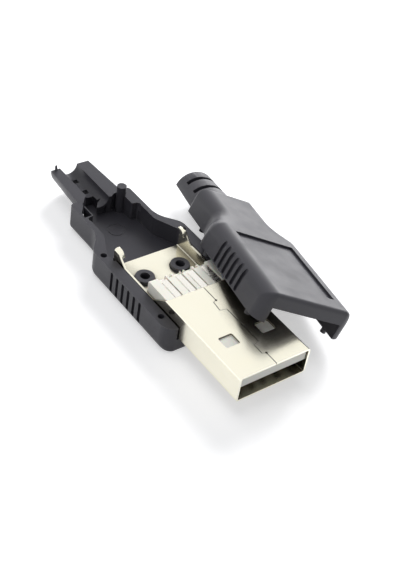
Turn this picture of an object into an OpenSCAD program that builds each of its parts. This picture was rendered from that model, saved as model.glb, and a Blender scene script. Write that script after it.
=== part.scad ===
// Solder-it-yourself plug of type A, opened: the metal plug sits in the lower half of
// its housing, and the upper half is taken off and leans on the plug.
// Millimetres. The mouth of the plug points to -Y, the cable side to +Y, Z is up, and
// the origin is the centre of the flat face that the lower half stands on.

/* [Housing] */
// Width over the gripped part of the housing
body_w = 16; // [15.4:0.1:17]
// Length of the housing without its cable tube
body_l = 30.35; // [30:0.05:32]
// Height of one half of the housing
half_h = 4.6; // [4.3:0.1:5]
// Width of the neck in front of the cable tube
neck_w = 10.7; // [10.2:0.1:11.4]
// Distance from the front face to the corner where the shoulder starts
shoulder_y = 19.3; // [18.9:0.1:19.6]
// Length of the shoulder along the housing
shoulder_l = 3.1; // [2.8:0.1:3.4]
// Radius of the rounded shoulder
shoulder_r = 2.6; // [1.6:0.2:3]
// Radius of the hollow between shoulder and neck
neck_r = 4.4; // [3:0.2:5]
// Radius of the upright corners of the front face
front_r = 0.6; // [0.4:0.1:1]
// Radius of the upright corners at the neck's end
rear_r = 0.7; // [0.4:0.1:1]
// Radius of the long outer edges
edge_r = 1.15; // [0.8:0.05:1.4]
// Radius of the edge between the large face and the front face
front_edge_r = 0.4; // [0.2:0.1:0.8]
// Thickness of the floor under the cable bay
floor_t = 1.45; // [1:0.05:1.8]
// Thickness of the wall beside the neck
neck_wall = 0.8; // [0.7:0.1:1.1]
// Thickness of the wall at the neck's end
end_wall = 0.5; // [0.4:0.05:0.8]
// Diameter of the post that stops the cable
post_d = 1.5; // [1.3:0.05:1.6]
// Height of the post above the rim
post_h = 1.6; // [1.2:0.1:2]
// Play between the post and the pocket that takes it, all round
post_gap = 0.2; // [0.15:0.05:0.3]

/* [Grip grooves] */
// Number of grip grooves in each side wall
groove_n = 6; // [4:1:6]
// Distance from the front face to the first groove
groove_y = 7.1; // [6.8:0.1:7.4]
// Distance from groove to groove
groove_pitch = 1.44; // [1.3:0.02:1.5]
// Width of one groove
groove_w = 0.62; // [0.4:0.02:0.8]
// Depth of one groove
groove_d = 0.4; // [0.2:0.05:0.5]
// Height of one groove from the rim
groove_h = 3.6; // [2.8:0.1:3.8]

/* [Cable tube] */
// Length of the cable tube
tube_l = 8.8; // [8.4:0.1:10]
// Radius of the tube where it leaves the neck
tube_r1 = 3.95; // [3.7:0.05:4.1]
// Radius of the tube at its end
tube_r2 = 3.3; // [3.1:0.05:3.5]
// Radius of the cable channel
channel_r = 2.15; // [1.8:0.05:2.4]
// Width of one ring slot
slot_w = 0.55; // [0.4:0.05:0.7]
// Distance from the tube's end to the middle of the last ring slot
slot_end = 2.2; // [1.9:0.1:2.5]
// Distance between the two ring slots
slot_pitch = 3.15; // [2.8:0.05:3.4]
// Wall that a ring slot leaves round the channel
slot_wall = 0.45; // [0.3:0.05:0.6]
// Half angle of the window that a ring slot opens into the channel
slot_window = 34; // [25:1:45]

/* [Locating pins] */
// Diameter of the pins on the upper half
pin_d = 0.86; // [0.7:0.02:0.94]
// Length of the pins below the rim
pin_l = 0.9; // [0.6:0.05:1.1]
// Play between a pin and its hole, all round
pin_gap = 0.07; // [0.04:0.01:0.1]
// Distance from the middle to the front pins
pin_front_x = 6.95; // [6.9:0.01:7]
// Distance from the front face to the front pins
pin_front_y = 3.1; // [2:0.1:4.5]
// Distance from the middle to the middle pins
pin_mid_x = 7.08; // [7.04:0.01:7.1]
// Distance from the front face to the middle pins
pin_mid_y = 17.75; // [17.4:0.05:18]
// Distance from the middle to the pins in the neck
pin_neck_x = 4.15; // [4.1:0.01:4.2]
// Distance from the front face to the pins in the neck
pin_neck_y = 25.75; // [25.2:0.05:26.2]

/* [Metal plug] */
// Width of the plug
plug_w = 12; // [11.9:0.05:12.1]
// Height of the plug
plug_h = 4.5; // [4.4:0.05:4.6]
// Thickness of the sheet
sheet = 0.3; // [0.25:0.01:0.35]
// Outer radius of the plug's long edges
plug_r = 0.5; // [0.4:0.05:0.8]
// How far the plug stands out of the housing
plug_out = 13.35; // [12.5:0.05:14]
// Length of the closed box of the plug
box_l = 16.7; // [16.2:0.1:17.4]
// Length of the plug with the open tray behind its box
tray_end = 30.2; // [30:0.05:30.4]
// Height of the tray's low walls
tray_wall = 2.2; // [1.8:0.1:2.5]
// Distance from the mouth to the end of the sloping side edge
slope_end = 19.85; // [19.2:0.05:20.4]
// Distance from the mouth to the front of the ears
ear_y = 26.84; // [26.4:0.02:27]
// Distance from the mouth to the back of the ears
ear_end = 29.95; // [29.6:0.05:30]
// Height of the ears
ear_h = 4.25; // [4:0.05:4.4]
// Radius of the bend at the top of the ears
ear_r = 0.75; // [0.6:0.05:1]
// Play between the plug and the housing, at each side
plug_gap = 0.15; // [0.08:0.01:0.2]
// Distance from the mouth to the front of the windows
window_y = 5.36; // [5:0.02:5.7]
// Length of one window
window_l = 2.1; // [1.8:0.1:2.4]
// Distance from the middle to the near side of a window
window_x = 1.9; // [1.7:0.1:2]
// Width of one window
window_w = 2.35; // [2.1:0.05:2.5]
// Width of the seam where the folded sheet meets
seam_w = 0.12; // [0.06:0.01:0.16]
// Distance from the mouth to the holes in the tray
tray_hole_y = 25.9; // [25.5:0.05:26.2]
// Distance from the middle to the holes in the tray
tray_hole_x = 3.13; // [3:0.01:3.3]
// Diameter of the bosses that hold the tray
boss_d = 2.9; // [2.7:0.05:3.1]
// Height of the bosses above the tray's bed
boss_h = 0.8; // [0.5:0.05:1]
// Bore of the bosses
boss_bore = 1.5; // [1.2:0.05:1.7]
// Play between a boss and the hole in the tray, all round
boss_gap = 0.15; // [0.1:0.01:0.2]

/* [Insulator and contacts] */
// Thickness of the tongue
tongue_t = 1.84; // [1.7:0.02:2]
// How far the tongue stays behind the mouth
tongue_back = 0.3; // [0.1:0.1:0.8]
// Depth of the space under the tongue
mouth_depth = 11.9; // [11.4:0.1:12.4]
// Play between the insulator and the plug, at each side
insul_gap = 0.08; // [0.03:0.01:0.12]
// Width of the insulator behind the box
insul_w = 10.7; // [10.4:0.1:11]
// Distance from the mouth to the insulator's end
insul_end = 22; // [21.4:0.1:22.6]
// Height of the insulator's top behind the box
insul_top = 3.9; // [3.7:0.05:4]
// Width of one contact
contact_w = 1; // [0.9:0.02:1.1]
// Thickness of one contact
contact_t = 0.25; // [0.2:0.01:0.3]
// Play between a contact and its channel, all round
contact_gap = 0.06; // [0.03:0.01:0.1]
// Distance from the middle to the inner pair of contacts
contact_x1 = 1; // [0.95:0.01:1.1]
// Distance from the middle to the outer pair of contacts
contact_x2 = 3.5; // [3.4:0.01:3.6]
// How far the contacts stay behind the mouth
contact_front = 1.5; // [1:0.1:2]
// Distance from the mouth to the end of the solder tails
tail_end = 21.2; // [20.6:0.1:21.4]
// Depth of the groove that holds a solder tail
tail_groove = 0.42; // [0.36:0.02:0.5]

/* [Recessed panel] */
// Depth of the recessed panel in the large faces
panel_d = 0.35; // [0.2:0.05:0.5]
// Width of the panel
panel_w = 10.7; // [10:0.1:11.2]
// Distance from the front face to the panel
panel_y = 2.95; // [2.6:0.05:3.4]
// Length of the panel
panel_l = 13.75; // [13:0.05:14.2]

/* [Leaning upper half] */
// Pitch of the upper half, degrees
lean_pitch = -7.15; // [-7.4:0.05:-7]
// Roll of the upper half, degrees
lean_roll = 24.2; // [24:0.05:24.6]
// Turn of the upper half, degrees
lean_turn = -17.5; // [-18:0.05:-17]
// How far the upper half lies to the side of its closed place
lean_x = 7.42; // [7.3:0.01:7.6]
// How far the upper half lies behind its closed place, counted along +Y
lean_y = -9.24; // [-9.4:0.01:-9]

/* [Hidden] */
$fn = 48;
eps = 0.01;

// Places along the plug are counted from its mouth, and places along the housing from
// its front face. The two scales meet here.
front = -body_l / 2;
mouth = front - plug_out;
tube_front = body_l / 2;
tube_end = tube_front + tube_l;

// The closed housing's parting plane runs through the middle of the plug.
bed_z = half_h - plug_h / 2;
bay_w = plug_w + 2 * plug_gap;
bay_end = tray_end - plug_out + plug_gap;
pin_hole_d = pin_d + 2 * pin_gap;
post_x = neck_w / 2 - neck_wall - 1.3;
post_y = tube_front - end_wall - post_d / 2 + 0.1;
pins = [[pin_front_x, pin_front_y], [pin_mid_x, pin_mid_y], [pin_neck_x, pin_neck_y]];

// Corners of the right half of the outline, from the front face to the neck's end,
// and the radius of each corner.
function outline_corners() = [
    [body_w / 2, front], [body_w / 2, front + shoulder_y],
    [neck_w / 2, front + shoulder_y + shoulder_l], [neck_w / 2, tube_front]];
corner_radii = [front_r, shoulder_r, neck_r, rear_r];

// Point where two lines meet, each given as a point and a direction
function meet(p, u, q, v) =
    let (k = ((q[0] - p[0]) * v[1] - (q[1] - p[1]) * v[0]) / (u[0] * v[1] - u[1] * v[0]))
    p + k * u;
function unit(v) = v / norm(v);
// Left-hand normal, which points into an outline that is walked anticlockwise
function inward(u) = [-u[1], u[0]];

// The corners moved inwards, each side by its own distance in d
function inset_corners(pts, d) =
    let (n = len(pts))
    [for (i = [0:n - 1])
        let (a = pts[(i + n - 1) % n], b = pts[i], c = pts[(i + 1) % n],
             u = unit(b - a), v = unit(c - b))
        meet(b + inward(u) * d[(i + n - 1) % n], u, b + inward(v) * d[i], v)];

// An outline with each corner replaced by an arc of steps + 1 points
function rounded(pts, radii, steps) =
    let (n = len(pts))
    [for (i = [0:n - 1])
        let (a = pts[(i + n - 1) % n], b = pts[i], c = pts[(i + 1) % n],
             u = unit(b - a), v = unit(c - b),
             turn = atan2(u[0] * v[1] - u[1] * v[0], u * v),
             r = radii[i], t = r * tan(abs(turn) / 2),
             s = turn > 0 ? 1 : -1,
             m = b - u * t + inward(u) * r * s)
        for (k = [0:steps])
            let (w = turn * k / steps)
            m + r * s * [u[1] * cos(w) + u[0] * sin(w), u[1] * sin(w) - u[0] * cos(w)]];

// The whole outline of the housing, inset by ds along the sides, df at the front face
// and dr at the neck's end
function housing_outline(ds, df, dr) =
    let (right = outline_corners(),
         left = [for (i = [3:-1:0]) [-right[i][0], right[i][1]]],
         pts = concat(right, left),
         d = [ds, ds, ds, dr, ds, ds, ds, df],
         signs = [1, 1, -1, 1, 1, -1, 1, 1],
         radii = concat(corner_radii, [for (i = [3:-1:0]) corner_radii[i]]))
    rounded(inset_corners(pts, d),
            [for (i = [0:7]) max(radii[i] - signs[i] * ds, 0.12)], 6);

// Inset that rounds an edge of radius r at height z above the large face
function edge_inset(r, z) = z >= r ? 0 : r - sqrt(r * r - (r - z) * (r - z));

// The body of one half with its rounded edges round the large face. It reaches a
// little past the large face and past the rim, where half_blank() trims it.
module half_loft() {
    spare = 0.2;
    levels = [for (a = [0:15:90]) edge_r * (1 - cos(a))];
    foot = [for (p = housing_outline(edge_r + spare, front_edge_r + spare, edge_r + spare))
        [p[0], p[1], -spare]];
    rings = concat([foot], [for (z = concat(levels, [half_h + spare]))
        [for (p = housing_outline(edge_inset(edge_r, z), edge_inset(front_edge_r, z),
                                  edge_inset(edge_r, z)))
            [p[0], p[1], z]]]);
    n = len(rings[0]);
    m = len(rings);
    faces = concat(
        [[for (i = [0:n - 1]) i]],
        [for (j = [0:m - 2]) for (i = [0:n - 1]) each [
            [j * n + i, (j + 1) * n + i, (j + 1) * n + (i + 1) % n],
            [j * n + i, (j + 1) * n + (i + 1) % n, j * n + (i + 1) % n]]],
        [[for (i = [n - 1:-1:0]) (m - 1) * n + i]]);
    polyhedron([for (r = rings) each r], faces);
}

// A plate with round ends along z, in the y-z plane, reaching along +x
module slot_plate(w, h, t) {
    rotate([90, 0, 90])
        linear_extrude(t)
            union() {
                translate([-w / 2, w / 2])
                    square([w, h - w / 2]);
                translate([0, w / 2])
                    circle(d = w);
            }
}

// The grip grooves of both side walls, open at the rim
module grip_grooves() {
    for (side = [0, 1], i = [0:groove_n - 1])
        mirror([side, 0, 0])
            translate([body_w / 2 - groove_d, front + groove_y + i * groove_pitch,
                       half_h - groove_h])
                slot_plate(groove_w, groove_h + 1, 1);
}

// A shallow panel in the large face of the upper half
module panel_recess() {
    translate([-panel_w / 2, front + panel_y, -1])
        cube([panel_w, panel_l, 1 + panel_d]);
}

// One solid half with its half of the tapered cable tube: the large face is at z = 0
// and the rim at half_h
module half_blank() {
    intersection() {
        union() {
            half_loft();
            translate([0, tube_front - end_wall, half_h])
                rotate([-90, 0, 0])
                    cylinder(h = tube_l + end_wall, r1 = tube_r1, r2 = tube_r2, $fn = 72);
        }
        translate([-body_w, front - 1, 0])
            cube([2 * body_w, body_l + tube_l + 2, half_h]);
    }
}

// The half channel that the cable lies in
module channel() {
    translate([0, tube_front - end_wall - 1, half_h])
        rotate([-90, 0, 0])
            cylinder(h = tube_l + end_wall + 2, r = channel_r, $fn = 72);
}

// One ring slot: a groove all round the tube with a window into the channel
module ring_slot(y) {
    reach = tube_r1 + 1;
    translate([0, y - slot_w / 2, half_h])
        rotate([-90, 0, 0])
            union() {
                difference() {
                    cylinder(h = slot_w, r = reach);
                    translate([0, 0, -1])
                        cylinder(h = slot_w + 2, r = channel_r + slot_wall);
                }
                linear_extrude(slot_w)
                    polygon([[0, 0], [-reach * tan(slot_window), reach],
                             [reach * tan(slot_window), reach]]);
            }
}

module ring_slots() {
    for (i = [0, 1])
        ring_slot(tube_end - slot_end - i * slot_pitch);
}

// Corners of the bay behind the plug, right half, from the bay's front to the end wall
function rear_bay_corners() =
    let (y1 = front + bay_end, y2 = front + shoulder_y + shoulder_l,
         y3 = tube_front - end_wall, x = neck_w / 2 - neck_wall)
    [[bay_w / 2 + 0.35, y1 - 1], [bay_w / 2 + 0.35, y1 + 0.9],
     [x, y2 - 0.6], [x, y3 - 3.6], [x - 1.05, y3 - 3.4], [x - 1.05, y3]];

// The bay behind the plug, down to z = bottom
module rear_bay(bottom) {
    right = rear_bay_corners();
    left = [for (i = [5:-1:0]) [-right[i][0], right[i][1]]];
    radii = [0.2, 1.5, 2.2, 0.2, 0.2, 0.3];
    translate([0, 0, bottom])
        linear_extrude(body_w)
            polygon(rounded(concat(right, left),
                            concat(radii, [for (i = [5:-1:0]) radii[i]]), 5));
}

// The pocket beside the bay, left of it, that takes the other half's post
module post_pocket() {
    y = tube_front - end_wall;
    translate([0, 0, floor_t])
        linear_extrude(body_w)
            polygon([[-post_x + post_d / 2 + post_gap, y], [-post_x - post_d / 2 - post_gap, y - 0.6],
                     [-neck_w / 2 + 0.45, y - 2.2], [-neck_w / 2 + 0.45, y - 3.3],
                     [-post_x - 0.35, y - 3.3], [-post_x - 0.35, y - 0.8],
                     [-post_x + post_d / 2 + post_gap, y - 0.8]]);
}

// What both halves share: the rounded blank with its tube, the bay for the plug at
// z = bed, the bay behind it, the cable channel, the post with its pocket and the grooves
module housing_half(bed) {
    difference() {
        half_blank();
        translate([-bay_w / 2, front - 1, bed])
            cube([bay_w, bay_end + 1, body_w]);
        rear_bay(floor_t);
        channel();
        post_pocket();
        ring_slots();
        grip_grooves();
    }
    translate([post_x, post_y, floor_t - 0.2])
        cylinder(h = half_h + post_h - floor_t + 0.2, d = post_d, $fn = 32);
}

module lower_housing() {
    color([0.09, 0.09, 0.1])
        union() {
            difference() {
                housing_half(bed_z);
                for (side = [-1, 1], p = pins)
                    translate([side * p[0], front + p[1], half_h - pin_l - 0.3])
                        cylinder(h = pin_l + 1, d = pin_hole_d, $fn = 24);
            }
            for (side = [-1, 1])
                difference() {
                    translate([side * tray_hole_x, mouth + tray_hole_y, bed_z - 0.2])
                        cylinder(h = boss_h + 0.2, d = boss_d);
                    translate([side * tray_hole_x, mouth + tray_hole_y, bed_z - 0.1])
                        cylinder(h = boss_h + 1, d = boss_bore);
                }
        }
}

// The upper half in its closed place, before it is taken off
module upper_closed() {
    translate([0, 0, 2 * half_h])
        rotate([0, 180, 0])
            difference() {
                housing_half(bed_z - plug_gap);
                panel_recess();
            }
    for (side = [-1, 1], p = pins)
        translate([side * p[0], front + p[1], half_h - pin_l])
            cylinder(h = pin_l + 0.5, d = pin_d, $fn = 24);
}

// Drop of a point of the upper half, given from the middle of its front rim, when the
// half is tilted as it lies
function tilted(p) = -sin(lean_roll) * p[0] + cos(lean_roll) * sin(lean_pitch) * p[1]
                     + cos(lean_roll) * cos(lean_pitch) * p[2];
tilt_cos = cos(lean_roll) * cos(lean_pitch);
// The middle pin on the right stands on the surface that the lower half lies on.
lean_z = pin_d / 2 * sqrt(1 - tilt_cos * tilt_cos) - tilted([pin_mid_x, pin_mid_y, -pin_l]);

module upper_housing() {
    color([0.11, 0.11, 0.12])
        translate([lean_x, front + lean_y, lean_z])
            rotate([lean_pitch, lean_roll, lean_turn])
                translate([0, -front, -half_h])
                    upper_closed();
}

// Cross-section of the closed box: a rectangle with round corners
module round_rect(w, h, r) {
    polygon(rounded([[w / 2, 0], [w / 2, h], [-w / 2, h], [-w / 2, 0]], [r, r, r, r], 5));
}

// Turns a cross-section drawn in x and z into a bar along y, from y0 to y1
module along(y0, y1) {
    translate([0, y1, 0])
        rotate([90, 0, 0])
            linear_extrude(y1 - y0)
                children();
}

// Side view of the sheet, counted from the mouth
module plug_side() {
    rotate([90, 0, 90])
        translate([0, 0, -plug_w])
            linear_extrude(2 * plug_w)
                polygon([[0, -1], [0, plug_h + 1], [box_l, plug_h + 1], [box_l, plug_h],
                         [box_l + 0.7, plug_h - 0.6], [slope_end - 1.1, tray_wall + 0.77],
                         [slope_end, tray_wall], [tray_end, tray_wall], [tray_end, -1]]);
}

module ear_side() {
    rotate([90, 0, 90])
        translate([0, 0, -plug_w])
            linear_extrude(2 * plug_w)
                polygon([[ear_y - 1, 1], [ear_y - 1, tray_wall - 0.4], [ear_y, tray_wall],
                         [ear_y + 0.7, tray_wall + 1.05], [ear_y + 1.35, ear_h - 0.2],
                         [ear_y + 1.6, ear_h + 1], [ear_end, ear_h + 1], [ear_end, 1]]);
}

// Cross-section of one ear: an upright wall that bends inwards at its top
module ear_section() {
    translate([plug_w / 2 - sheet, plug_r])
        square([sheet, ear_h - ear_r - plug_r]);
    translate([plug_w / 2 - ear_r, ear_h - ear_r])
        intersection() {
            difference() {
                circle(r = ear_r);
                circle(r = ear_r - sheet);
            }
            square(ear_r);
        }
}

// A strip of width w that follows a path
module strip(path, w) {
    n = len(path);
    sides = [for (i = [0:n - 1])
        let (u = unit(path[min(i + 1, n - 1)] - path[max(i, 1) - 1])) inward(u) * w / 2];
    polygon(concat([for (i = [0:n - 1]) path[i] + sides[i]],
                   [for (i = [n - 1:-1:0]) path[i] - sides[i]]));
}

// The interlocked seam in the top of the plug, with its relief holes
module seam() {
    path = [[0, -1], [0, 2.2], [-0.6, 2.42], [-0.55, 4.2], [0.42, 4.44], [0.42, 11.6],
            [-0.6, 11.8], [-0.42, 13.55], [0.15, 13.75], [0.18, box_l + 1]];
    translate([0, 0, plug_h - 2 * sheet])
        linear_extrude(3 * sheet)
            union() {
                strip(path, seam_w);
                translate([0.02, 2.2])
                    circle(d = 3 * seam_w);
                translate([0.15, 13.75])
                    circle(d = 3 * seam_w);
            }
}

module windows() {
    for (side = [-1, 1])
        translate([side * (window_x + window_w / 2), window_y, -1])
            linear_extrude(plug_h + 2)
                round_rect(window_w, window_l, 0.3);
}

module plug_shell() {
    color([0.87, 0.85, 0.8])
        translate([0, mouth, bed_z])
            difference() {
                union() {
                    intersection() {
                        along(0, tray_end)
                            difference() {
                                round_rect(plug_w, plug_h, plug_r);
                                translate([0, sheet])
                                    round_rect(plug_w - 2 * sheet, plug_h - 2 * sheet,
                                               plug_r - sheet);
                            }
                        plug_side();
                    }
                    intersection() {
                        along(ear_y - 1, ear_end)
                            union() {
                                ear_section();
                                mirror([1, 0])
                                    ear_section();
                            }
                        ear_side();
                    }
                }
                seam();
                windows();
                for (side = [-1, 1])
                    translate([side * tray_hole_x, tray_hole_y, -1])
                        cylinder(h = 3, d = boss_d + 2 * boss_gap);
            }
}

// Path of one contact, seen from the side and counted from the mouth: along the
// tongue's lower face, up through the block and along the top
tongue_z = plug_h - sheet - tongue_t;
tail_z = insul_top - tail_groove + contact_gap;
function contact_path(shift, reach) = [
    [contact_front - reach, tongue_z + 0.45 + shift],
    [contact_front + 0.5, tongue_z + shift],
    [mouth_depth + 1, tongue_z + shift],
    [box_l - 1.2, tail_z + shift],
    [tail_end + reach, tail_z + shift]];

module contact_plate(grow) {
    w = contact_w + 2 * grow;
    rotate([90, 0, 90])
        translate([0, 0, -w / 2])
            linear_extrude(w)
                polygon(concat(contact_path(-grow, grow),
                               [for (i = [4:-1:0])
                                   contact_path(contact_t + grow, grow)[i]]));
}

module contact(x) {
    color([0.83, 0.68, 0.36])
        translate([x, mouth, bed_z])
            contact_plate(0);
}

module contact_power() contact(contact_x2);
module contact_data_minus() contact(contact_x1);
module contact_data_plus() contact(-contact_x1);
module contact_ground() contact(-contact_x2);

module insulator() {
    in_w = plug_w - 2 * sheet - 2 * insul_gap;
    color([0.9, 0.89, 0.85])
        translate([0, mouth, bed_z])
            difference() {
                union() {
                    along(tongue_back, mouth_depth + 1)
                        translate([0, tongue_z])
                            round_rect(in_w, tongue_t, plug_r - sheet);
                    along(mouth_depth, box_l)
                        translate([0, sheet])
                            round_rect(in_w, plug_h - 2 * sheet, plug_r - sheet);
                    translate([-insul_w / 2, box_l - 1, sheet])
                        cube([insul_w, insul_end - box_l + 1, insul_top - sheet]);
                }
                for (x = [-contact_x2, -contact_x1, contact_x1, contact_x2]) {
                    translate([x, 0, 0])
                        contact_plate(contact_gap);
                    translate([x - contact_w / 2 - contact_gap, box_l, insul_top - tail_groove])
                        cube([contact_w + 2 * contact_gap, insul_end, 1]);
                }
            }
}

lower_housing();
upper_housing();
plug_shell();
insulator();
contact_power();
contact_data_minus();
contact_data_plus();
contact_ground();
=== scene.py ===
"""Looks of a solder-it-yourself cable plug, opened: a metal plug in the lower half of
its black housing, with the upper half leaning on it.

The pieces are built in millimetres in the frame of the solids, and are scaled to metres
at the end. -Y is the mouth of the plug, +Y its cable side, and Z is up."""
import math

import bmesh
import bpy
from mathutils import Euler, Matrix, Vector


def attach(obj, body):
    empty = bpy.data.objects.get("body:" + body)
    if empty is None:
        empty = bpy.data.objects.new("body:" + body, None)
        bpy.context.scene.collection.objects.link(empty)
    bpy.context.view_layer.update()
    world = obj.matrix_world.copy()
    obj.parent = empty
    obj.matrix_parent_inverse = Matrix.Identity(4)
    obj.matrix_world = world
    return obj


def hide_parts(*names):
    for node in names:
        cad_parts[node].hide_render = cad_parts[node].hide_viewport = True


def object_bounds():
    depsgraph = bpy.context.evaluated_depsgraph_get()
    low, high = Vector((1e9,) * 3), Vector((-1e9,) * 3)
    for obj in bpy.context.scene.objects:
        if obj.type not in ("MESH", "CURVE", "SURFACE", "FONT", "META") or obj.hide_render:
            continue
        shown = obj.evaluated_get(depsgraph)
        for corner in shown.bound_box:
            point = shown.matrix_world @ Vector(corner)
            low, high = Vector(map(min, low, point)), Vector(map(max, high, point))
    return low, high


MM = 0.001
SHARP_ANGLE = math.radians(32)

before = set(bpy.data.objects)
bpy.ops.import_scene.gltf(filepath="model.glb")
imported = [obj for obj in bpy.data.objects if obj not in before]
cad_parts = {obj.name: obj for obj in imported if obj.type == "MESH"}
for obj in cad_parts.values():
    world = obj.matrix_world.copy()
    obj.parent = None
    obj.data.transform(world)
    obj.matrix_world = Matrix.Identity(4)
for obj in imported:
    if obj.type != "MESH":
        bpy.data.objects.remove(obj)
cad_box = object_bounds()
scene = bpy.context.scene
scene.view_settings.view_transform = "Standard"


# ---------------------------------------------------------------- sizes, millimetres

BODY_W, BODY_L, HALF_H = 16.0, 30.35, 4.6
FRONT = -BODY_L / 2
PLUG_OUT = 13.35
MOUTH = FRONT - PLUG_OUT
NECK_W = 10.7
SHOULDER_Y, SHOULDER_L = 19.3, 3.1
SHOULDER_R, NECK_R, FRONT_R, REAR_R = 2.6, 4.4, 1.8, 0.7
FLOOR_T, NECK_WALL, END_WALL = 1.45, 0.8, 0.5
TUBE_FRONT, TUBE_L, TUBE_R1, TUBE_R2 = BODY_L / 2, 8.79, 3.95, 3.42
CHANNEL_R, CHANNEL_X = 1.55, -0.35
SLOTS_Y, SLOT_W = (18.6, 21.6), 0.9
GROOVES, GROOVE_FIRST, GROOVE_STEP = 6, 6.8, 1.44
GROOVE_DEPTH, GROOVE_LOW, GROOVE_HIGH = 0.42, 3.85, 0.12
PLUG_W, PLUG_H, PLUG_L, SHEET, PLUG_GAP = 12.0, 4.5, 30.2, 0.3, 0.15
BED_Z = HALF_H - PLUG_H / 2
BAY_END = MOUTH + PLUG_L + PLUG_GAP
PINS = ((6.95, 3.1), (7.08, 17.75), (4.15, 25.75))
PIN_D, PIN_L, PIN_GAP, PIN_HOLE = 0.86, 0.9, 0.07, 1.3
BOSS_X, BOSS_Y, BOSS_R, BOSS_BORE, BOSS_H = 3.13, MOUTH + 25.9, 1.45, 0.75, 0.8
POST_R, POST_H = 0.75, 1.6
MARK, MARK_R, MARK_LINE, MARK_DEPTH = (0.1, 9.98), 1.42, 0.17, 0.07
PANEL_W, PANEL_Y0, PANEL_Y1, PANEL_DEPTH = 10.7, 2.95, 16.7, 0.35
WINDOW_X, WINDOW_Y, WINDOW_W, WINDOW_L = 3.075, 6.41, 2.35, 2.1
SEAM_W, SEAM_STOP_R, TRAY_HOLE_R = 0.12, 0.18, 1.6
TONGUE_T = 1.84
LEAN = Euler((math.radians(-7.15), math.radians(24.2), math.radians(-17.5)), "XYZ")
LEAN_X, LEAN_Y = 7.42, -9.24


# ---------------------------------------------------------------- mesh tools

def make_object(name, mesh):
    piece = bpy.data.objects.new(name, mesh)
    scene.collection.objects.link(piece)
    return piece


def solid(points, faces, name="tool"):
    mesh = bpy.data.meshes.new(name)
    mesh.from_pydata(points, [], faces)
    mesh.update()
    bm = bmesh.new()
    bm.from_mesh(mesh)
    bmesh.ops.recalc_face_normals(bm, faces=bm.faces)
    bm.to_mesh(mesh)
    bm.free()
    return make_object(name, mesh)


def loft(rings, name="tool"):
    """Closed body through rings of points that have the same count."""
    count = len(rings[0])
    faces = [list(range(count))]
    for j in range(len(rings) - 1):
        for i in range(count):
            k = (i + 1) % count
            faces.append([j * count + i, (j + 1) * count + i, (j + 1) * count + k, j * count + k])
    faces.append([(len(rings) - 1) * count + i for i in range(count)])
    return solid([p for ring in rings for p in ring], faces, name)


def prism(outline, low, high):
    """Plan outline drawn up from low to high."""
    return loft([[(x, y, z) for x, y in outline] for z in (low, high)])


def side_prism(outline, low, high):
    """Side view (y, z) drawn along x."""
    return loft([[(x, y, z) for y, z in outline] for x in (low, high)])


def box(low, high):
    return prism([(low[0], low[1]), (high[0], low[1]), (high[0], high[1]), (low[0], high[1])],
                 low[2], high[2])


def circle(centre, radius, steps=32, start=0.0, sweep=360.0):
    turn = [math.radians(start + sweep * k / steps) for k in range(steps + (sweep < 360))]
    return [(centre[0] + radius * math.cos(a), centre[1] + radius * math.sin(a)) for a in turn]


def rod(x, y, radius, low, high, steps=32):
    return prism(circle((x, y), radius, steps), low, high)


def tube_along(section, y0, y1, scale=1.0, centre=(0, 0)):
    """Cross-section (x, z) drawn along y, growing by scale about centre."""
    far = [(centre[0] + (x - centre[0]) * scale, centre[1] + (z - centre[1]) * scale)
           for x, z in section]
    return loft([[(x, y0, z) for x, z in section], [(x, y1, z) for x, z in far]])


def bake(piece):
    """Applies the modifiers of the piece."""
    graph = bpy.context.evaluated_depsgraph_get()
    mesh = bpy.data.meshes.new_from_object(piece.evaluated_get(graph))
    piece.modifiers.clear()
    piece.data = mesh
    return piece


def combine(piece, tools, operation):
    for tool in tools:
        cut = piece.modifiers.new("cut", "BOOLEAN")
        cut.operation = operation
        cut.solver = "EXACT"
        cut.object = tool
        bake(piece)
        bpy.data.objects.remove(tool)
    return piece


def cut(piece, *tools):
    return combine(piece, tools, "DIFFERENCE")


def join(piece, *tools):
    return combine(piece, tools, "UNION")


def rounded(corners, radii, steps=6):
    """Outline with each corner replaced by an arc."""
    points = []
    count = len(corners)
    for i, b in enumerate(corners):
        a, b, c = Vector(corners[i - 1]), Vector(b), Vector(corners[(i + 1) % count])
        u, v = (b - a).normalized(), (c - b).normalized()
        turn = math.atan2(u.x * v.y - u.y * v.x, u.dot(v))
        radius, side = radii[i], 1 if turn > 0 else -1
        centre = b - u * radius * math.tan(abs(turn) / 2) + Vector((-u.y, u.x)) * radius * side
        for k in range(steps + 1):
            w = turn * k / steps
            spoke = Vector((u.y * math.cos(w) + u.x * math.sin(w),
                            u.y * math.sin(w) - u.x * math.cos(w)))
            points.append(tuple(centre + spoke * radius * side))
    return points


def finish_piece(name, piece, node, material, bevel=0.05):
    """Bevels, scales to metres, and hands the piece over to the frame."""
    piece.name = name
    edge = piece.modifiers.new("edge", "BEVEL")
    edge.width = bevel
    edge.segments = 2
    edge.limit_method = "ANGLE"
    edge.angle_limit = SHARP_ANGLE
    edge.use_clamp_overlap = True
    bake(piece)
    mesh = piece.data
    mesh.transform(Matrix.Scale(MM, 4))
    mesh.shade_smooth()
    mesh.set_sharp_from_angle(angle=SHARP_ANGLE)
    even = piece.modifiers.new("even", "WEIGHTED_NORMAL")
    even.keep_sharp = True
    even.weight = 90
    mesh = bake(piece).data
    mesh.materials.clear()
    mesh.materials.append(material)
    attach(piece, "root")
    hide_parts(node)


# ---------------------------------------------------------------- housing

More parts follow.
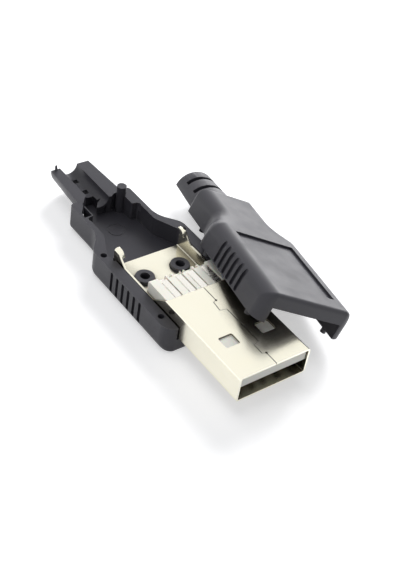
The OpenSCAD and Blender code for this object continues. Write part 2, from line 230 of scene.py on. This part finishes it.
def inset_corners(corners, insets):
    """Corners of the outline with each side moved in by its own inset."""
    moved = []
    count = len(corners)
    for i in range(count):
        a, b, c = (Vector(corners[j % count]) for j in (i - 1, i, i + 1))
        u, v = (b - a).normalized(), (c - b).normalized()
        p = b + Vector((-u.y, u.x)) * insets[i - 1]
        q = b + Vector((-v.y, v.x)) * insets[i]
        k = ((q.x - p.x) * v.y - (q.y - p.y) * v.x) / (u.x * v.y - u.y * v.x)
        moved.append(tuple(p + k * u))
    return moved


def housing_outline(side, face, rear):
    """Plan of the housing, moved in at its sides, its front face and its rear face."""
    right = [(BODY_W / 2, FRONT), (BODY_W / 2, FRONT + SHOULDER_Y),
             (NECK_W / 2, FRONT + SHOULDER_Y + SHOULDER_L), (NECK_W / 2, TUBE_FRONT)]
    corners = right + [(-x, y) for x, y in reversed(right)]
    radii = [FRONT_R, SHOULDER_R, NECK_R, REAR_R]
    radii = radii + radii[::-1]
    bends = (1, 1, -1, 1, 1, -1, 1, 1)
    insets = [side, side, side, rear, side, side, side, face]
    return rounded(inset_corners(corners, insets),
                   [max(r - s * side, 0.12) for r, s in zip(radii, bends)], 8)


def edge_inset(radius, z):
    """How far a rounded edge stands back at a height above the large face."""
    return 0.0 if z >= radius else radius - math.sqrt(radius * radius - (radius - z) ** 2)


def half_blank(edge_r, front_edge_r, side):
    """Solid half with rounded edges round the large face, and its half of the tube."""
    rings = []
    levels = [edge_r * (1 - math.cos(math.radians(a))) for a in range(0, 91, 9)] + [HALF_H]
    for z in levels:
        plan = housing_outline(edge_inset(edge_r, z), edge_inset(front_edge_r, z),
                               edge_inset(min(edge_r, 1.2), z))
        rings.append([(x, y, z) for x, y in plan])
    body = loft(rings, "half")
    section = [(x, HALF_H + z) for x, z in circle((-0.12 * side, 0), TUBE_R1, 48, 180, 180)]
    tube = tube_along(section, TUBE_FRONT - END_WALL, TUBE_FRONT + TUBE_L,
                      TUBE_R2 / TUBE_R1, (0, HALF_H))
    return join(body, tube)


def stadium(y, low, high, width):
    """Upright slot with round ends, in side view."""
    half = width / 2
    turn = [math.pi * k / 8 for k in range(9)]
    return ([(y + half * math.cos(a), high - half + half * math.sin(a)) for a in turn]
            + [(y - half * math.cos(a), low + half - half * math.sin(a)) for a in turn])


def grip_grooves(width):
    """Cutters of the upright grooves on both side walls."""
    tools = []
    for side in (-1, 1):
        for i in range(GROOVES):
            outline = stadium(FRONT + GROOVE_FIRST + GROOVE_STEP * i, HALF_H - GROOVE_LOW,
                              HALF_H - GROOVE_HIGH, width)
            reach = sorted((side * (BODY_W / 2 - GROOVE_DEPTH), side * (BODY_W / 2 + 1)))
            tools.append(side_prism(outline, *reach))
    return tools


def ring_slot(y, x):
    """Groove round the lower part of the tube, with a window into the channel."""
    reach = TUBE_R1 + 1
    inner = CHANNEL_R + 0.45
    outer = circle((0, 0), reach, 24, 208, 124)
    ring = [(px, HALF_H + pz) for px, pz in outer]
    ring += [(x + px, HALF_H + pz) for px, pz in circle((0, 0), inner, 24, 332, -124)]
    window = [(x, HALF_H), (x - 0.62, HALF_H - 2.2), (x + 0.62, HALF_H - 2.2)]
    return [tube_along(section, y - SLOT_W / 2, y + SLOT_W / 2) for section in (ring, window)]


def rear_bay():
    """Cutter of the hollow behind the plug, as wide as the waist allows."""
    y2 = FRONT + SHOULDER_Y + SHOULDER_L
    y3 = TUBE_FRONT - END_WALL
    x = NECK_W / 2 - NECK_WALL
    right = [(PLUG_W / 2 + 0.5, BAY_END - 1), (PLUG_W / 2 + 0.5, BAY_END + 0.9), (x, y2 - 0.6),
             (x, y3 - 3.6), (x - 1.05, y3 - 3.4), (x - 1.05, y3)]
    left = [(-px, py) for px, py in reversed(right)]
    radii = [0.2, 1.5, 2.2, 0.2, 0.2, 0.3]
    return prism(rounded(right + left, radii + radii[::-1], 5), FLOOR_T, HALF_H + 1)


POCKET = [(-4.95, 11.38), (-3.64, 11.38), (-3.64, 13.7), (-3.3, 14.0), (-0.9, 14.3),
          (-0.1, 15.35), (0.7, 15.8), (0.2, 16.0), (0.12, 17.15), (-1.85, 17.1),
          (-1.9, 16.0), (-2.45, 15.6), (-4.75, 12.6)]
NOSE = [(0.9, 14.3), (1.6, 14.2), (2.5, 14.8), (3.2, 15.3), (3.2, 16.0), (0.9, 16.0)]


def on_side(outline, side):
    """Plan outline as drawn for side 1, mirrored for side -1."""
    return outline if side > 0 else [(-x, y) for x, y in reversed(outline)]


def housing_half(edge_r, front_edge_r, bed, side, groove):
    """Half housing with its large face down; side is the hand of channel and pocket."""
    half = half_blank(edge_r, front_edge_r, side)
    x = CHANNEL_X * side
    cut(half, box((-PLUG_W / 2 - PLUG_GAP, FRONT - 1, bed),
                  (PLUG_W / 2 + PLUG_GAP, BAY_END, HALF_H + 1)),
        rear_bay())
    lip = [(x + px, HALF_H + pz) for px, pz in circle((0, 0), CHANNEL_R + 0.5, 24, 180, 180)]
    join(half, tube_along(lip, 14.3, 15.4), prism(on_side(NOSE, side), FLOOR_T - 0.2, HALF_H))
    bore = [(x + px, HALF_H + pz) for px, pz in circle((0, 0), CHANNEL_R, 48)]
    cut(half, tube_along(bore, 13.5, TUBE_FRONT + TUBE_L + 1),
        prism(on_side(POCKET, side), FLOOR_T, HALF_H + 1))
    for y in SLOTS_Y:
        cut(half, *ring_slot(y, x))
    return cut(half, *grip_grooves(groove))


def lower_housing():
    """Lower half with pin holes, hollow bosses, a post, a moulding mark and a tab."""
    half = housing_half(1.35, 0.5, BED_Z, 1, 0.62)
    for side in (-1, 1):
        for x, y in PINS:
            cut(half, rod(side * x, FRONT + y, PIN_D / 2 + PIN_GAP, HALF_H - PIN_HOLE,
                          HALF_H + 1, 24))
        boss = rod(side * BOSS_X, BOSS_Y, BOSS_R, BED_Z - 0.2, BED_Z + BOSS_H, 48)
        cut(boss, rod(side * BOSS_X, BOSS_Y, BOSS_BORE, BED_Z - 1, BED_Z + 2))
        cut(half, rod(side * BOSS_X, BOSS_Y, BOSS_BORE, BED_Z - 0.6, BED_Z + 2))
        join(half, boss)
    post_x, post_y = NECK_W / 2 - NECK_WALL - 1.3, TUBE_FRONT - END_WALL - 0.65
    join(half, rod(post_x, post_y, POST_R, FLOOR_T - 0.2, HALF_H + POST_H, 40))
    ring = rod(*MARK, MARK_R, FLOOR_T - MARK_DEPTH, FLOOR_T + 0.5, 48)
    cut(ring, rod(*MARK, MARK_R - MARK_LINE, FLOOR_T - 1, FLOOR_T + 1, 48))
    cut(half, ring)
    tab = side_prism([(23.4, HALF_H - 0.3), (23.95, HALF_H - 0.3), (23.95, HALF_H + 0.55),
                      (23.85, HALF_H + 0.9)], -2.85, -2.55)
    return join(half, tab)


def lean_matrix():
    """Places the upper half, its pins down, so that one pin rests on the floor."""
    turn = LEAN.to_matrix().to_4x4()
    pin = turn @ Vector((PINS[1][0], PINS[1][1], -PIN_L))
    tilt = turn[2][2]
    lift = PIN_D / 2 * math.sqrt(1 - tilt * tilt) - pin.z
    return (Matrix.Translation((LEAN_X, FRONT + LEAN_Y, lift)) @ turn
            @ Matrix.Translation((0, -FRONT, -HALF_H)))


def upper_housing():
    """Upper half with its sunk panel and pins, turned over and leaned on the lower one."""
    half = housing_half(2.1, 0.6, BED_Z - PLUG_GAP, -1, 0.78)
    cut(half, box((-PANEL_W / 2, FRONT + PANEL_Y0, -1),
                  (PANEL_W / 2, FRONT + PANEL_Y1, PANEL_DEPTH)))
    half.data.transform(Matrix.Translation((0, 0, 2 * HALF_H))
                        @ Matrix.Rotation(math.pi, 4, "Y"))
    for side in (-1, 1):
        for x, y in PINS:
            join(half, rod(side * x, FRONT + y, PIN_D / 2, HALF_H - PIN_L, HALF_H + 0.5, 24))
    half.data.transform(lean_matrix())
    return half


# ---------------------------------------------------------------- plug and insulator

SEAM = [(0, -1), (0, 2.2), (-0.6, 2.42), (-0.55, 4.2), (0.42, 4.44), (0.42, 11.6), (-0.6, 11.8),
        (-0.42, 13.55), (0.15, 13.75), (0.18, 18)]
SEAM_STOPS = ((0.02, 2.2), (0.15, 13.75))
PLUG_SIDE = [(16.7, 6), (16.7, 4.5), (17.4, 3.9), (18.75, 2.97), (19.85, 2.2), (31, 2.2), (31, 6)]
EAR_SIDE = [(26.9, 1.7), (26.9, 2.0), (27.6, 2.5), (28.3, 3.05), (28.9, 3.6), (29.3, 3.95),
            (30.1, 3.95), (30.1, 1.7)]
EAR_LIP = [(28.45, 3.1), (28.95, 3.75), (29.3, 3.95), (30.1, 3.95), (30.1, 3.62), (29.4, 3.62),
           (29.1, 3.5), (28.65, 2.95)]


def round_rect(width, low, high, radius, bottom_radius):
    half = width / 2
    return rounded([(half, low), (half, high), (-half, high), (-half, low)],
                   [bottom_radius, radius, radius, bottom_radius], 6)


def along_plug(outline):
    """Side view counted from the mouth and from the underside of the plug."""
    return [(MOUTH + y, BED_Z + z) for y, z in outline]


def seam_strip():
    """Cutter of the jigsaw seam in the top of the shell."""
    sides = []
    for i, point in enumerate(SEAM):
        ahead, behind = SEAM[min(i + 1, len(SEAM) - 1)], SEAM[max(i, 1) - 1]
        way = (Vector(ahead) - Vector(behind)).normalized()
        sides.append(Vector((-way.y, way.x)) * SEAM_W / 2)
    left = [(p[0] + s.x, MOUTH + p[1] + s.y) for p, s in zip(SEAM, sides)]
    right = [(p[0] - s.x, MOUTH + p[1] - s.y) for p, s in zip(SEAM, sides)]
    return prism(left + right[::-1], BED_Z + PLUG_H - 2 * SHEET, BED_Z + PLUG_H + 1)


def ear(side):
    """Wing of the tray: an upright wall with a sloping front and a folded top."""
    outer = PLUG_W / 2
    wall = side_prism(along_plug(EAR_SIDE), *sorted((side * outer, side * (outer - SHEET))))
    lip = side_prism(along_plug(EAR_LIP), *sorted((side * (outer - 0.01), side * (outer - 0.8))))
    wing = join(wall, lip)
    limits = tube_along(round_rect(PLUG_W, BED_Z, BED_Z + 3.94, 0.45, 0.4), MOUTH, MOUTH + 32)
    return combine(wing, [limits], "INTERSECT")


def plug_shell():
    """Folded shell: a box at the mouth that opens into a tray, with two wings."""
    shell = tube_along(round_rect(PLUG_W, BED_Z, BED_Z + PLUG_H, 0.5, 0.5), MOUTH,
                       MOUTH + PLUG_L)
    inner = round_rect(PLUG_W - 2 * SHEET, BED_Z + SHEET, BED_Z + PLUG_H - SHEET, 0.2, 0.2)
    cut(shell, tube_along(inner, MOUTH - 1, MOUTH + 31),
        side_prism(along_plug(PLUG_SIDE), -8, 8), seam_strip())
    for side in (-1, 1):
        plan = rounded([(side * WINDOW_X + i * WINDOW_W / 2, MOUTH + WINDOW_Y + j * WINDOW_L / 2)
                        for i, j in ((1, -1), (1, 1), (-1, 1), (-1, -1))], [0.3] * 4, 4)
        cut(shell, prism(plan, BED_Z - 1, BED_Z + 6),
            rod(side * BOSS_X, BOSS_Y, TRAY_HOLE_R, BED_Z - 1, BED_Z + 2, 48))
    for x, y in SEAM_STOPS:
        cut(shell, rod(x, MOUTH + y, SEAM_STOP_R, BED_Z + 3.5, BED_Z + 6, 16))
    return join(shell, ear(-1), ear(1))


def insulator():
    """Tongue and block in one side profile, with a groove for each solder tail."""
    wide = PLUG_W / 2 - SHEET - 0.08
    tongue_z = PLUG_H - SHEET - TONGUE_T
    top = PLUG_H - SHEET - 0.01
    body = side_prism(along_plug([(0.3, tongue_z), (11.9, tongue_z), (11.9, 0.31), (21.9, 0.31),
                                  (21.9, 3.75), (21.7, 3.9), (16.75, 3.9), (16.75, top),
                                  (0.3, top)]), -wide, wide)
    for x in (-3.5, -1.0, 1.0, 3.5):
        cut(body, box((x - 0.66, MOUTH + 16.9, BED_Z + 3.3), (x + 0.66, MOUTH + 25, BED_Z + 6)))
    for x in (-2.25, 0.0, 2.25):
        cut(body, box((x - 0.3, MOUTH + 21.2, BED_Z + 2.2), (x + 0.3, MOUTH + 25, BED_Z + 6)))
    return body


# ---------------------------------------------------------------- materials

def node_group(name, inputs, outputs):
    group = bpy.data.node_groups.new(name, "ShaderNodeTree")
    for label, value in inputs:
        socket = group.interface.new_socket(label, in_out="INPUT", socket_type="NodeSocketFloat")
        socket.default_value = value
    for label, kind in outputs:
        group.interface.new_socket(label, in_out="OUTPUT", socket_type=kind)
    return group, group.nodes.new("NodeGroupInput"), group.nodes.new("NodeGroupOutput")


def object_noise(nodes, links, scale, detail=3.0):
    """Noise that is fixed to the piece."""
    coords = nodes.new("ShaderNodeTexCoord")
    noise = nodes.new("ShaderNodeTexNoise")
    noise.inputs["Detail"].default_value = detail
    links.new(coords.outputs["Object"], noise.inputs["Vector"])
    if isinstance(scale, float):
        noise.inputs["Scale"].default_value = scale
    else:
        links.new(scale, noise.inputs["Scale"])
    return noise


def grain_group():
    """Fine moulded grain with broad unevenness: a bumped normal and two masks."""
    group, start, end = node_group(
        "moulded_grain", [("Grain Scale", 9000.0), ("Strength", 0.1), ("Height", 0.00002)],
        [("Normal", "NodeSocketVector"), ("Fine", "NodeSocketFloat"), ("Broad", "NodeSocketFloat")])
    nodes, links = group.nodes, group.links
    fine = object_noise(nodes, links, start.outputs["Grain Scale"])
    broad = object_noise(nodes, links, 260.0)
    bump = nodes.new("ShaderNodeBump")
    links.new(start.outputs["Strength"], bump.inputs["Strength"])
    links.new(start.outputs["Height"], bump.inputs["Distance"])
    links.new(fine.outputs["Fac"], bump.inputs["Height"])
    links.new(bump.outputs["Normal"], end.inputs["Normal"])
    links.new(fine.outputs["Fac"], end.inputs["Fine"])
    links.new(broad.outputs["Fac"], end.inputs["Broad"])
    return group


def edge_highlight_group():
    """Mask of the painted highlight along sharp edges, 0 to 1."""
    group, start, end = node_group("painted_edge_highlight", [("Radius", 0.00012)],
                                   [("Mask", "NodeSocketFloat")])
    nodes, links = group.nodes, group.links
    bevel = nodes.new("ShaderNodeBevel")
    bevel.samples = 4
    links.new(start.outputs["Radius"], bevel.inputs["Radius"])
    geometry = nodes.new("ShaderNodeNewGeometry")
    dot = nodes.new("ShaderNodeVectorMath")
    dot.operation = "DOT_PRODUCT"
    links.new(bevel.outputs["Normal"], dot.inputs[0])
    links.new(geometry.outputs["Normal"], dot.inputs[1])
    spread = nodes.new("ShaderNodeMapRange")
    spread.inputs["From Min"].default_value = 0.98
    spread.inputs["From Max"].default_value = 0.80
    links.new(dot.outputs["Value"], spread.inputs["Value"])
    links.new(spread.outputs["Result"], end.inputs["Mask"])
    return group


def painted_shade_group():
    """Mask of the painted shade in recesses, 1 in the open and 0 deep inside."""
    group, start, end = node_group("painted_shade", [("Reach", 0.003), ("Power", 1.0)],
                                   [("Mask", "NodeSocketFloat")])
    nodes, links = group.nodes, group.links
    hidden = nodes.new("ShaderNodeAmbientOcclusion")
    hidden.samples = 8
    links.new(start.outputs["Reach"], hidden.inputs["Distance"])
    power = nodes.new("ShaderNodeMath")
    power.operation = "POWER"
    links.new(hidden.outputs["AO"], power.inputs[0])
    links.new(start.outputs["Power"], power.inputs[1])
    links.new(power.outputs[0], end.inputs["Mask"])
    return group


GRAIN = grain_group()
EDGE_HIGHLIGHT = edge_highlight_group()
PAINTED_SHADE_GROUP = painted_shade_group()


def new_material(name, roughness, metallic=0.0, specular=0.5):
    material = bpy.data.materials.new(name)
    material.use_nodes = True
    shader = material.node_tree.nodes["Principled BSDF"]
    shader.inputs["Roughness"].default_value = roughness
    shader.inputs["Metallic"].default_value = metallic
    shader.inputs["Specular IOR Level"].default_value = specular
    return material, material.node_tree.nodes, material.node_tree.links, shader


def use_group(nodes, group, **values):
    node = nodes.new("ShaderNodeGroup")
    node.node_tree = group
    for key, value in values.items():
        node.inputs[key.replace("_", " ")].default_value = value
    return node


def blend_colours(nodes, links, mask, low, high):
    """Mix of two colours by a mask; each is three numbers or the output of a node."""
    mix = nodes.new("ShaderNodeMix")
    mix.data_type = "RGBA"
    links.new(mask, mix.inputs["Factor"])
    for socket, colour in ((mix.inputs[6], low), (mix.inputs[7], high)):
        if isinstance(colour, tuple):
            socket.default_value = (*colour, 1)
        else:
            links.new(colour, socket)
    return mix.outputs[2]


def spread_value(nodes, links, mask, low, high):
    """Noise mask spread from low to high."""
    spread = nodes.new("ShaderNodeMapRange")
    spread.inputs["From Min"].default_value = 0.3
    spread.inputs["From Max"].default_value = 0.7
    spread.inputs["To Min"].default_value = low
    spread.inputs["To Max"].default_value = high
    links.new(mask, spread.inputs["Value"])
    return spread.outputs["Result"]


def black_plastic():
    material, nodes, links, shader = new_material("black_plastic", 0.4, specular=0.4)
    grain = use_group(nodes, GRAIN, Grain_Scale=7000.0, Strength=0.12, Height=0.00002)
    edge = use_group(nodes, EDGE_HIGHLIGHT, Radius=0.0001)
    body = blend_colours(nodes, links, grain.outputs["Broad"], (0.040, 0.039, 0.048),
                         (0.047, 0.046, 0.054))
    # Painted highlight: a lighter grey along sharp edges.
    colour = blend_colours(nodes, links, edge.outputs["Mask"], body, (0.085, 0.085, 0.09))
    links.new(colour, shader.inputs["Base Color"])
    links.new(spread_value(nodes, links, grain.outputs["Broad"], 0.34, 0.46),
              shader.inputs["Roughness"])
    links.new(grain.outputs["Normal"], shader.inputs["Normal"])
    return material


def nickel():
    material, nodes, links, shader = new_material("nickel", 0.2, 1.0)
    grain = use_group(nodes, GRAIN, Grain_Scale=2600.0, Strength=0.05, Height=0.00002)
    edge = use_group(nodes, EDGE_HIGHLIGHT, Radius=0.00006)
    body = blend_colours(nodes, links, grain.outputs["Broad"], (0.965, 0.925, 0.76),
                         (0.99, 0.965, 0.83))
    # Painted highlight: near-white along sharp edges.
    bright = blend_colours(nodes, links, edge.outputs["Mask"], body, (0.98, 0.97, 0.94))
    # Painted shade: darker towards a dark brown in the mouth and other recesses.
    painted_shade = use_group(nodes, PAINTED_SHADE_GROUP, Reach=0.0035, Power=1.6)
    colour = blend_colours(nodes, links, painted_shade.outputs["Mask"], (0.05, 0.035, 0.02), bright)
    links.new(colour, shader.inputs["Base Color"])
    links.new(spread_value(nodes, links, grain.outputs["Broad"], 0.17, 0.27),
              shader.inputs["Roughness"])
    links.new(grain.outputs["Normal"], shader.inputs["Normal"])
    return material


def ivory_plastic():
    material, nodes, links, shader = new_material("ivory_plastic", 0.45)
    grain = use_group(nodes, GRAIN, Grain_Scale=5000.0, Strength=0.1, Height=0.00002)
    body = blend_colours(nodes, links, grain.outputs["Broad"], (0.93, 0.91, 0.80),
                         (0.96, 0.95, 0.88))
    links.new(body, shader.inputs["Base Color"])
    links.new(spread_value(nodes, links, grain.outputs["Fine"], 0.4, 0.52),
              shader.inputs["Roughness"])
    links.new(grain.outputs["Normal"], shader.inputs["Normal"])
    shader.inputs["Subsurface Weight"].default_value = 0.1
    shader.inputs["Subsurface Scale"].default_value = 0.0004
    return material


def contact_strip():
    material, nodes, links, shader = new_material("contact_strip", 0.25, 1.0)
    grain = use_group(nodes, GRAIN, Grain_Scale=3000.0, Strength=0.04, Height=0.00002)
    body = blend_colours(nodes, links, grain.outputs["Broad"], (0.90, 0.87, 0.80),
                         (0.95, 0.93, 0.88))
    links.new(body, shader.inputs["Base Color"])
    links.new(spread_value(nodes, links, grain.outputs["Fine"], 0.2, 0.34),
              shader.inputs["Roughness"])
    links.new(grain.outputs["Normal"], shader.inputs["Normal"])
    return material


BLACK = black_plastic()
NICKEL = nickel()
IVORY = ivory_plastic()
STRIP = contact_strip()

finish_piece("lower_half", lower_housing(), "lower_housing", BLACK)
finish_piece("upper_half", upper_housing(), "upper_housing", BLACK)
finish_piece("shell", plug_shell(), "plug_shell", NICKEL, bevel=0.03)
finish_piece("insulator_block", insulator(), "insulator", IVORY)
for name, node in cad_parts.items():
    if name.startswith("contact_"):
        node.data.materials.clear()
        node.data.materials.append(STRIP)


# ---------------------------------------------------------------- camera, lamps and stage

CAMERA_AT = Vector((-79.25, -97.67, 106.72)) * MM
CAMERA_AIM = Vector((5.44, -5.22, 0.0)) * MM
CAMERA_ROLL = math.radians(10.25)
LENS = 69.47
WORLD_LIGHT = 0.20
FLOOR_GLOW = 0.50
FLOOR_REACH = 2.0


def make_camera():
    data = bpy.data.cameras.new("camera")
    data.lens = LENS
    data.sensor_width = 36
    data.clip_start = 0.005
    data.clip_end = 10
    camera = make_object("camera", data)
    look = (CAMERA_AIM - CAMERA_AT).normalized()
    turn = look.to_track_quat("-Z", "Y") @ Matrix.Rotation(CAMERA_ROLL, 3, "Z").to_quaternion()
    camera.matrix_world = Matrix.Translation(CAMERA_AT) @ turn.to_matrix().to_4x4()
    scene.camera = camera


def add_lamp(name, place, aim, size, power, hidden=True):
    """Area lamp; a hidden one isn't seen in the shiny surfaces."""
    data = bpy.data.lights.new(name, "AREA")
    data.shape = "RECTANGLE"
    data.size, data.size_y = size
    data.energy = power
    lamp = make_object(name, data)
    lamp.visible_glossy = not hidden
    lamp.visible_camera = False
    lamp.location = place
    lamp.rotation_euler = (Vector(aim) - Vector(place)).to_track_quat("-Z", "Y").to_euler()


def ray_mask(nodes, links):
    """1 for rays that the camera or a mirror sends, 0 for diffuse light."""
    path = nodes.new("ShaderNodeLightPath")
    most = nodes.new("ShaderNodeMath")
    most.operation = "MAXIMUM"
    links.new(path.outputs["Is Camera Ray"], most.inputs[0])
    links.new(path.outputs["Is Glossy Ray"], most.inputs[1])
    return most.outputs[0]


def make_world():
    world = bpy.data.worlds.new("studio")
    scene.world = world
    world.use_nodes = True
    nodes, links = world.node_tree.nodes, world.node_tree.links
    nodes.clear()
    out = nodes.new("ShaderNodeOutputWorld")
    mix = nodes.new("ShaderNodeMixShader")
    seen = nodes.new("ShaderNodeBackground")
    seen.inputs["Color"].default_value = (1, 1, 1, 1)
    seen.inputs["Strength"].default_value = 1.0
    light = nodes.new("ShaderNodeBackground")
    light.inputs["Color"].default_value = (0.93, 0.95, 1, 1)
    light.inputs["Strength"].default_value = WORLD_LIGHT
    links.new(ray_mask(nodes, links), mix.inputs["Fac"])
    links.new(light.outputs[0], mix.inputs[1])
    links.new(seen.outputs[0], mix.inputs[2])
    links.new(mix.outputs[0], out.inputs["Surface"])


def make_floor():
    r = FLOOR_REACH
    floor = solid([(-r, -r, 0), (r, -r, 0), (r, r, 0), (-r, r, 0)], [(0, 1, 2, 3)], "floor")
    floor.location.z = cad_box[0][2]
    material = bpy.data.materials.new("floor")
    material.use_nodes = True
    nodes, links = material.node_tree.nodes, material.node_tree.links
    nodes.clear()
    out = nodes.new("ShaderNodeOutputMaterial")
    matt = nodes.new("ShaderNodeBsdfDiffuse")
    matt.inputs["Color"].default_value = (0.82, 0.82, 0.83, 1)
    glow = nodes.new("ShaderNodeEmission")
    glow.inputs["Color"].default_value = (1, 1, 1, 1)
    gain = nodes.new("ShaderNodeMath")
    gain.operation = "MULTIPLY"
    gain.inputs[1].default_value = FLOOR_GLOW
    add = nodes.new("ShaderNodeAddShader")
    links.new(ray_mask(nodes, links), gain.inputs[0])
    links.new(gain.outputs[0], glow.inputs["Strength"])
    links.new(matt.outputs[0], add.inputs[0])
    links.new(glow.outputs[0], add.inputs[1])
    links.new(add.outputs[0], out.inputs["Surface"])
    floor.data.materials.append(material)


make_camera()
make_world()
make_floor()
add_lamp("key", (0.36, 0.26, 0.30), (0, 0, 0), (0.24, 0.24), 2.9)
add_lamp("top", (-0.05, 0.10, 0.50), (0, 0, 0), (0.30, 0.30), 0.55)
add_lamp("left", (-0.45, -0.05, 0.20), (0, 0, 0), (0.30, 0.20), 0.35)
add_lamp("horizon", (0.23, 0.13, 0.032), (0.01, 0, 0.01), (0.36, 0.06), 0.22, hidden=False)
